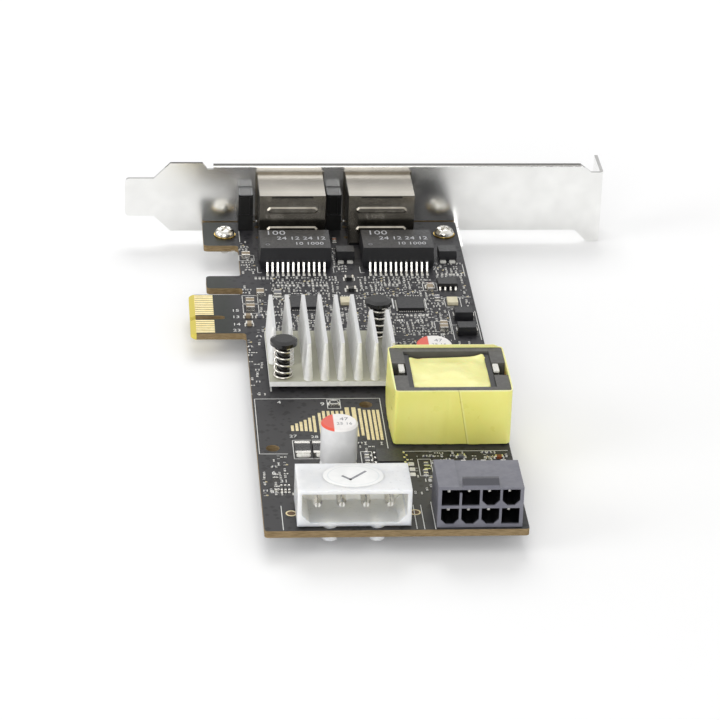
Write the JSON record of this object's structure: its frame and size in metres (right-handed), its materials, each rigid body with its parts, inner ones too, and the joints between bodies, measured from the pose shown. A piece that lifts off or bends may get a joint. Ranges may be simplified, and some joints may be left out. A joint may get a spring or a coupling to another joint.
{
  "type": "network interface card",
  "caption": "Expansion card with a full-height steel bracket, shielded network jacks, a finned heatsink, a taped power transformer and power headers.",
  "frame": {"origin": "middle of the bracket's outer face", "axes": "+X along the bracket towards its screw tab, +Y out of the computer through the bracket, +Z on the component side of the board"},
  "size_m": [0.1208, 0.1695, 0.0216],
  "materials": {
    "bracket_steel": "bright nickel plate",
    "screw_nickel": "bright",
    "laminate": "matte black mask",
    "gold": "polished",
    "shield_nickel": "satin nickel plate",
    "black_plastic": "moulded",
    "lens_plastic": "translucent",
    "package_black": "moulded",
    "tinned": "satin tin",
    "heatsink_aluminium": "matte",
    "pad_grey": "matte",
    "spring_steel": "satin",
    "ferrite": "matte",
    "winding_tape": "satin film",
    "core_tape": "satin film",
    "can_sleeve": "satin",
    "seal_rubber": "matte",
    "white_nylon": "translucent",
    "grey_nylon": "moulded",
    "crystal_metal": "satin",
    "ceramic_tan": "matte",
    "resistor_black": "gloss"
  },
  "bodies": {
    "root": {"bracket": "bracket_steel", "bracket_screws": "screw_nickel", "circuit_board": "laminate", "edge_contacts": "gold", "jack_shield_left": "shield_nickel", "jack_shield_right": "shield_nickel", "jack_housing_left": "black_plastic", "jack_housing_right": "black_plastic", "jack_contacts_left": "gold", "jack_contacts_right": "gold", "indicator_housing_left": "black_plastic", "indicator_housing_right": "black_plastic", "indicator_lenses_left": "lens_plastic", "indicator_lenses_right": "lens_plastic", "network_transformer_left": "package_black", "network_transformer_right": "package_black", "network_transformer_leads_left": "tinned", "network_transformer_leads_right": "tinned", "heatsink": "heatsink_aluminium", "thermal_pad": "pad_grey", "main_chip": "package_black", "push_pins": "black_plastic", "push_pin_springs": "spring_steel", "transformer_core": "ferrite", "transformer_bobbin": "black_plastic", "transformer_winding": "winding_tape", "transformer_tape": "core_tape", "transformer_pins": "tinned", "capacitor_can_front": "can_sleeve", "capacitor_can_rear": "can_sleeve", "capacitor_seal_front": "seal_rubber", "capacitor_seal_rear": "seal_rubber", "capacitor_leads": "tinned", "four_way_housing": "white_nylon", "four_way_contacts": "tinned", "eight_way_housing": "grey_nylon", "eight_way_contacts": "tinned", "surge_suppressors": "package_black", "small_packages": "package_black", "small_package_leads": "tinned", "network_chips": "package_black", "crystals": "crystal_metal", "diodes": "package_black", "diode_terminals": "tinned", "chip_capacitors": "ceramic_tan", "chip_resistors": "resistor_black", "chip_end_caps": "tinned"}
  },
  "joints": []
}
